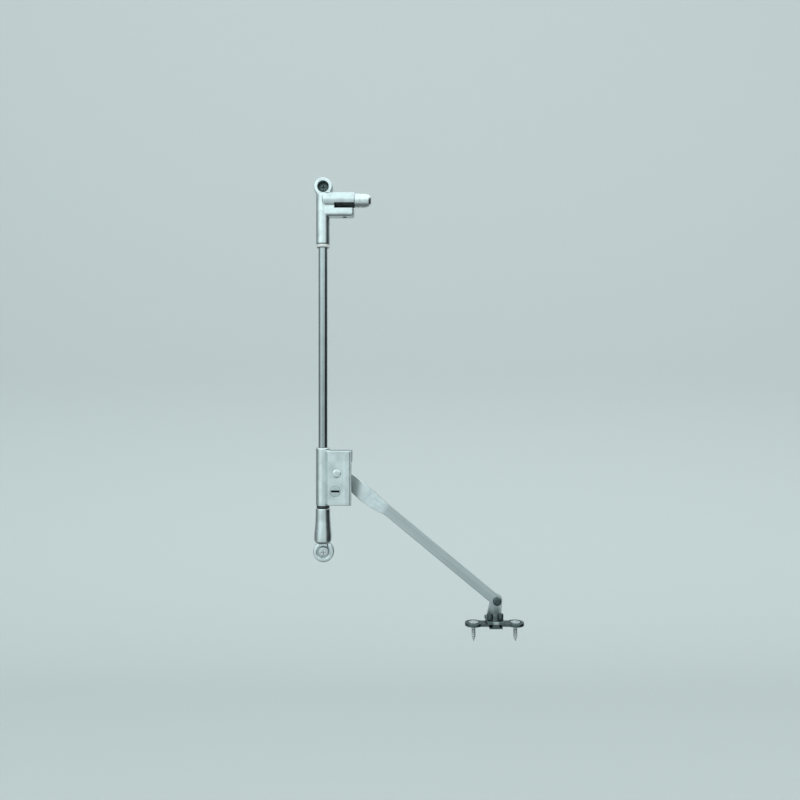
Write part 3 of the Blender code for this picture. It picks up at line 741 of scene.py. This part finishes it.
# ---------------------------------------------------------------------------------------------
# Back plate. Plated sheet steel, punched and countersunk, held to the hood's two posts by small
# black screws. It closes the hood behind the arm's head and backs the pivot rivet.

def stamping(name, outline, low, high, bevel):
    """A flat blank from its outline, standing from low to high out from the panel, with broken edges."""
    bm = bmesh.new()
    blank = bm.faces.new([bm.verts.new((x, y, low)) for x, y in eased(outline, 8)])
    grown = bmesh.ops.extrude_face_region(bm, geom=[blank])["geom"]
    raised = [corner for corner in grown if isinstance(corner, bmesh.types.BMVert)]
    bmesh.ops.translate(bm, verts=raised, vec=(0, 0, high - low))
    made = finish_mesh(name, bm, turn=TO_ROOM)
    if bevel:
        broken = made.modifiers.new("broken_edges", "BEVEL")
        broken.width = bevel * MM
        broken.segments = 2
        broken.limit_method = "ANGLE"
        broken.angle_limit = math.radians(50)
    return made


plate_outline = [(2, 43.5, 2.5), (21, 43.5, 2.5), (21, 66.2, 2.5), (2, 66.2, 2.5)]
back_plate = stamping("back_plate_punched", plate_outline, 0.4, 1.6, bevel=0.12)
bpy.context.view_layer.update()
applied(back_plate)
sink = [(0, -1), (3.2, -1), (2.3, 0.4), (1.3, 1.3), (1.3, 3), (0, 3)]
machined(back_plate, [
    bore("rivet_hole", 2.6, -1, 4, pivot_place, TO_ROOM, sides=40),
    *[lathe("sink", sink, place, TO_ROOM, sides=32) for place in plate_screw_places],
])
sheet_steel = ground_steel(
    "sheet_steel", (0.52, 0.55, 0.56), along=(0.04, 1, 1), rough=(0.26, 0.42), lines=0.003
)
dress(back_plate, sheet_steel, "slider", "plate_steel", "slider_back_plate")

small_head = [(0, 0), (1.8, 0, 0.1), (0.72, -0.9)]
small_shank = {
    "point": -8, "taper": 1.2, "plain": 0.3, "core": 0.72, "crest": 1.0, "pitch": 0.7, "sides": 24,
}
small_recess = (2.0, 0.45, 0.65)
for number, x in enumerate(plate_screws, 1):
    name = f"back_plate_screw_{number}"
    place = (x, -0.45, plate_screw_z)
    small = driven_screw(name + "_cut", small_head, small_shank, small_recess, place, TO_PANEL)
    dress(small, black_screw, "slider", "dark_screw", name)


# ---------------------------------------------------------------------------------------------
# Arm pivot rivet. Turned steel, plated, with a low dome on the hood's face, riveted over behind.

rivet = [
    (0, 0.6), (2.4, 0.6, 0.3), (2.4, 17.3), (3.3, 17.3, 0.1), (3.3, 17.75, 0.25), (2.2, 18.25, 1.2),
    (0, 18.4),
]
arm_rivet = lathe("arm_pivot_rivet_turned", rivet, pivot_place, TO_ROOM)
dress(arm_rivet, nickel, "slider", "nickel_casting", "arm_pivot_rivet")


# ---------------------------------------------------------------------------------------------
# Brake. A slotted adjuster in the hood's face carries a cam, which bears on a leaf spring, and
# that presses a lining shoe on the rod. The adjuster's slot is painted near-black as shade.

knob = [
    (0, 8.4), (3.4, 8.4), (3.4, 14.0), (4.9, 14.0, 0.15), (4.9, 14.7, 0.15), (4.05, 14.7),
    (4.05, 16.9, 0.15), (0, 16.9),
]
cam_line = [(0, 8), (4.0, 8, 0.2), (4.0, 14.2), (0, 14.2)]
off_centre = 0.5
slot_length, slot_width = 6.6, 1.6
adjuster = lathe("brake_adjuster_turned", knob, brake_place, TO_ROOM)
cam = lathe("cam", cam_line, (brake_x, 0, brake_z + off_centre), TO_ROOM)
joining = adjuster.modifiers.new("cam", "BOOLEAN")
joining.operation = "UNION"
joining.object = cam
bpy.context.view_layer.update()
applied(adjuster)
bpy.data.objects.remove(cam)
slot_x = (brake_x - slot_length / 2, brake_x + slot_length / 2)
slot_z = (brake_z - slot_width / 2, brake_z + slot_width / 2)
machined(adjuster, [brick("slot", slot_x, (14.9, 18), slot_z)])
zinc_with_slot_shade, start, shader = new_finish("zinc_with_slot_shade")
place = own_place(start)
along, up, out = (place.part(axis) for axis in range(3))
# Painted shade: the walls and floor of the adjuster's slot are coloured near-black, where the recess
# falls dark.
in_slot = (1 - along.size().rise(0.00335, 0.0035)) * (1 - up.size().rise(0.00085, 0.0009))
slot_shade = in_slot * out.rise(0.0147, 0.0148) * (1 - out.rise(0.0162, 0.0167))
cloud = clouds(start, 2.0, 4.0)
bare = tint(start, cloud.rise(0.3, 0.7), (0.50, 0.56, 0.56), (0.64, 0.70, 0.70))
tint(start, slot_shade, bare, (0.03, 0.036, 0.036)).feeds(shader, "Base Color")
(0.36 + 0.42 * slot_shade + 0.08 * cloud).feeds(shader, "Roughness")
relief(start, cloud, 0.01, shader)
dress(adjuster, zinc_with_slot_shade, "brake_adjuster", "zinc_casting", "brake_adjuster")

lining = moulded("brake_lining", (0.26, 0.16, 0.09), 0.62, grain=0.3, depth=0.03)
shoe = brick("brake_shoe_moulded", (2.2, 5.2), (5.4, 10.6), (brake_z - 5.2, brake_z + 5.2), 0.25)
machined(shoe, [bore("hollow", 3.8, 20, 60, rod_line)])
dress(shoe, lining, "slider", "brake_lining", "brake_shoe")

spring_steel = ground_steel("spring_steel", (0.38, 0.41, 0.45), along=(1, 1, 0.04), rough=(0.2, 0.34))
leaf_outline = [
    (5.95, brake_z - 4.6), (5.95, brake_z + 4.6), (5.5, brake_z + 4.6), (5.5, brake_z + 3.6),
    (5.6, brake_z), (5.5, brake_z - 3.6), (5.5, brake_z - 4.6),
]
leaf = stamping("brake_spring_leaf", leaf_outline, 8.4, 10.4, bevel=0.05)
dress(leaf, spring_steel, "slider", "spring_steel", "brake_spring")


# ---------------------------------------------------------------------------------------------
# Stay arm. Flat steel 2.5 mm thick, punched wide at the slider and narrow beyond, and cranked out
# from the panel in two bends. Plated over the lines that rolling left along its length, with a
# painted highlight that makes it near-white close to the pivot.

arm_length = 157.3
arm_drop = math.radians(38.3)
head_depth, bar_depth = 3.25, 20.0
crank_from, crank_to, bend = 12.0, 45.0, 2.6
arm_thick = 2.5


def crank(along, steps=6):
    """The depth of the arm's middle at a distance from its pivot, with both bends rounded."""
    total = 0.0
    for step in range(-steps, steps + 1):
        share = (along + bend * step / steps - crank_from) / (crank_to - crank_from)
        total += head_depth + (bar_depth - head_depth) * min(1, max(0, share))
    return total / (2 * steps + 1)


def half_round(radius, first, centre_x=0.0, steps=24):
    """Points round half a circle on the arm's line, from an angle in radians."""
    angles = [first + math.pi * step / steps for step in range(steps + 1)]
    return [(centre_x + radius * math.cos(a), radius * math.sin(a)) for a in angles]


half_width = 4.0
bar_start = Vector((48, 2.6))
tilt = math.atan2(-bar_start.y, arm_length - bar_start.x)
across = Vector((-math.sin(tilt), math.cos(tilt))) * half_width
tip = half_round(half_width, tilt - math.pi / 2, arm_length)
head = half_round(5.7, math.pi / 2)
arm_outline = [
    (28, -5.6, 20), (38, -4.1, 16), (*(bar_start - across), 20), *tip,
    (*(bar_start + across), 20), (30, 6.9, 20), (17, 6.1, 12), *head,
]
bm = bmesh.new()
bm.faces.new([bm.verts.new((x, 0, y)) for x, y in eased(arm_outline, 6)])
stations = [corner + bend * step / 5 for corner in (crank_from, crank_to) for step in range(-5, 6)]
for station in stations:
    everything = bm.verts[:] + bm.edges[:] + bm.faces[:]
    bmesh.ops.bisect_plane(bm, geom=everything, plane_co=(station, 0, 0), plane_no=(1, 0, 0))
for vert in bm.verts:
    vert.co.y = -crank(vert.co.x) - arm_thick / 2
grown = bmesh.ops.extrude_face_region(bm, geom=bm.faces[:])["geom"]
raised = [vert for vert in grown if isinstance(vert, bmesh.types.BMVert)]
bmesh.ops.translate(bm, verts=raised, vec=(0, arm_thick, 0))
arm = finish_mesh("stay_arm_punched", bm, pivot_place, turn=(0, arm_drop, 0), sharp=30)
flap_pivot = (pivot_x + arm_length * math.cos(arm_drop), 0, pivot_z - arm_length * math.sin(arm_drop))
machined(arm, [
    bore("eye_hole", 2.6, 0, 10, pivot_place, TO_ROOM, sides=40),
    bore("tip_hole", 2.1, 10, 30, flap_pivot, TO_ROOM, sides=32),
], sharp=30)
broken = arm.modifiers.new("broken_edges", "BEVEL")
broken.width = 0.3 * MM
broken.segments = 3
broken.limit_method = "ANGLE"
broken.angle_limit = math.radians(50)
arm_steel, start, shader = new_finish("arm_steel")
broad = clouds(start, 9.0, 3.0)
fine = clouds(start, 0.16, 2.0, (0.03, 1, 1))
streaks = clouds(start, 1.6, 3.0, (0.015, 1, 1)).rise(0.3, 0.7)
# Painted highlight: the base colour is near-white up to 16 mm from the pivot and fades out by 30 mm.
from_pivot = own_place(start).part(0)
painted_highlight = 1 - from_pivot.rise(0.016, 0.030)
rolled = tint(start, 0.5 * streaks + 0.3 * broad + 0.2 * fine, (0.42, 0.46, 0.46), (0.60, 0.64, 0.64))
tint(start, painted_highlight, rolled, (0.90, 0.93, 0.92)).feeds(shader, "Base Color")
(0.38 + 0.08 * fine + 0.06 * broad).feeds(shader, "Roughness")
relief(start, fine, 0.003, shader)
dress(arm, arm_steel, "arm", "arm_steel", "stay_arm")


# ---------------------------------------------------------------------------------------------
# Flap pivot. A black rivet through the arm's end and the adapter's lug, with a black moulded
# washer between them.

flap_rivet_line = [
    (0, 13.6), (2.8, 13.6, 0.35), (2.8, 14.5, 0.1), (1.9, 14.5), (1.9, 21.55), (3.2, 21.55, 0.1),
    (3.2, 22.3, 0.35), (2.0, 22.9, 1.2), (0, 23.0),
]
flap_rivet = lathe("flap_pivot_rivet_turned", flap_rivet_line, flap_pivot, TO_ROOM, sides=48)
dress(flap_rivet, black_screw, "arm", "dark_screw", "flap_pivot_rivet")
flap_washer_ring = [(2.2, 17.65), (3.9, 17.65, 0.15), (3.9, 18.45, 0.15), (2.2, 18.45)]
flap_washer = lathe("flap_pivot_washer_moulded", flap_washer_ring, flap_pivot, TO_ROOM, sides=48)
dress(flap_washer, black_plastic, "arm", "black_plastic", "flap_pivot_washer")


# ---------------------------------------------------------------------------------------------
# Flap adapter. A zinc casting, nickel plated: a low saddle that drops over the wing plate's ridge,
# and the upright lug that takes the arm's rivet. Two black screws with tall heads clamp it. The
# saddle is coloured darker than the lug, with a lighter patch at the middle of its front end.

px, _, pz = flap_pivot
lug_lean, pivot_height = 2.1, 18.0
plate_x = px - lug_lean
flap_z = pz - pivot_height
lug_radius = 4.6
lug_angles = [math.radians(-10 + 12.5 * step) for step in range(17)]
lug = [(px + lug_radius * math.cos(a), pz + lug_radius * math.sin(a)) for a in lug_angles]
lug += [(plate_x - 5.8, flap_z + 4), (plate_x + 5.8, flap_z + 4)]
clamp_offset, clamp_depth = 3.95, 26
adapter_screws = (plate_x - clamp_offset, plate_x + clamp_offset)
adapter = cast("flap_adapter_cast", [
    brick("saddle", (plate_x - 6.6, plate_x + 6.6), (12.4, 31.6), (flap_z + 2.7, flap_z + 5.3), 0.4),
    stamping("lug", lug, 14.8, 17.4, bevel=0),
    brick("rib", (plate_x - 1.3, plate_x + 1.3), (12.9, 15.2), (flap_z + 4, pz - lug_radius), 0.2),
], grain=0.24, passes=3)
machined(adapter, [
    brick("channel", (plate_x - 5.3, plate_x + 5.3), (10, 34), (flap_z - 2, flap_z + 3.3)),
    bore("eye", 2.1, 10, 20, flap_pivot, TO_ROOM, sides=32),
    *[bore("hole", 1.3, 2, 7, (x, -clamp_depth, flap_z), sides=24) for x in adapter_screws],
])
satin_zinc, start, shader = new_finish("satin_zinc")
place = own_place(start)
along, inward, height = (place.part(axis) for axis in range(3))
broad = clouds(start, 5.0, 4.0)
fine = clouds(start, 0.5, 3.0)
# The saddle below the lug is coloured darker, except a lighter patch at the middle of its front end.
middle = 1 - (along - plate_x * MM).size().rise(0.0012, 0.0026)
lighter_front_middle = middle * (1 - inward.rise(-0.0316, -0.0312))
darker_saddle = (1 - height.rise((flap_z + 5.0) * MM, (flap_z + 6.6) * MM)) * (1 - 0.75 * lighter_front_middle)
skin = tint(start, broad.rise(0.25, 0.7), (0.50, 0.55, 0.55), (0.64, 0.69, 0.69))
tint(start, darker_saddle, skin, (0.13, 0.16, 0.16)).feeds(shader, "Base Color")
(0.30 + 0.10 * broad + 0.06 * fine + 0.12 * darker_saddle).feeds(shader, "Roughness")
relief(start, 0.5 * fine + 0.5 * broad, 0.01, shader)
dress(adapter, satin_zinc, "flap_bracket", "zinc_casting", "flap_adapter")

clamp_head = [(0, 0), (1.6, -0.03), (2.3, -0.35, 0.4), (2.3, -4.5, 0.15), (0.7, -4.5)]
clamp_shank = {
    "point": -7.3, "taper": 0.5, "plain": 0.1, "core": 0.7, "crest": 0.95, "pitch": 0.6, "sides": 24,
}
clamp_recess = (2.9, 0.6, 1.2)
for number, x in enumerate(adapter_screws, 1):
    name = f"adapter_screw_{number}"
    place = (x, -clamp_depth, flap_z + 10.1)
    clamp = driven_screw(name + "_cut", clamp_head, clamp_shank, clamp_recess, place)
    dress(clamp, black_screw, "flap_bracket", "dark_screw", name)


# ---------------------------------------------------------------------------------------------
# Wing plate. A zinc casting, plated dark: two round wings with a pad and a narrow ridge between
# them. Two countersunk screws 32 mm apart hold it on the flap.

wing_depth = 22
wing_holes = (plate_x - hole_row / 2, plate_x + hole_row / 2)
wing_places = [(x, -wing_depth, flap_z) for x in wing_holes]
lobe = [(0, 0), (6.6, 0, 0.2), (6.6, 2.5, 0.5), (0, 2.5)]
wing_plate = cast("wing_plate_cast", [
    brick("pad", (plate_x - 5, plate_x + 5), (12, 31.98), (flap_z, flap_z + 1.2), 0.2),
    brick("ridge", (plate_x - 2.6, plate_x + 2.6), (12, 31.98), (flap_z, flap_z + 3), 0.3),
    brick("bar", wing_holes, (17.6, 26.4), (flap_z, flap_z + 2.4), 0.3),
    *[lathe("lobe", lobe, place) for place in wing_places],
], grain=0.24, passes=3)
sink = [(0, -1), (2.1, -1), (2.1, 0.6), (4.3, 2.6), (4.3, 5), (0, 5)]
machined(wing_plate, [lathe("sink", sink, place, sides=48) for place in wing_places])
dark_zinc = plated_casting("dark_zinc", (0.115, 0.145, 0.145), rough=(0.26, 0.38), pits=0.005)
dress(wing_plate, dark_zinc, "flap_bracket", "dark_casting", "wing_plate")

flat_head = [(0, 0), (3.5, -0.03), (3.8, -0.25, 0.15), (1.25, -2.4)]
flat_shank = {"point": -14.99, "taper": 4.0, "plain": 1.5, "core": 1.25, "crest": 1.72, "pitch": 1.6}
flat_recess = (4.0, 0.85, 1.4)
for number, x in enumerate(wing_holes, 1):
    name = f"wing_screw_{number}"
    place = (x, -wing_depth, flap_z + 2.75)
    wood = driven_screw(name + "_cut", flat_head, flat_shank, flat_recess, place)
    dress(wood, zinc_screw, "flap_bracket", "screw_steel", name)
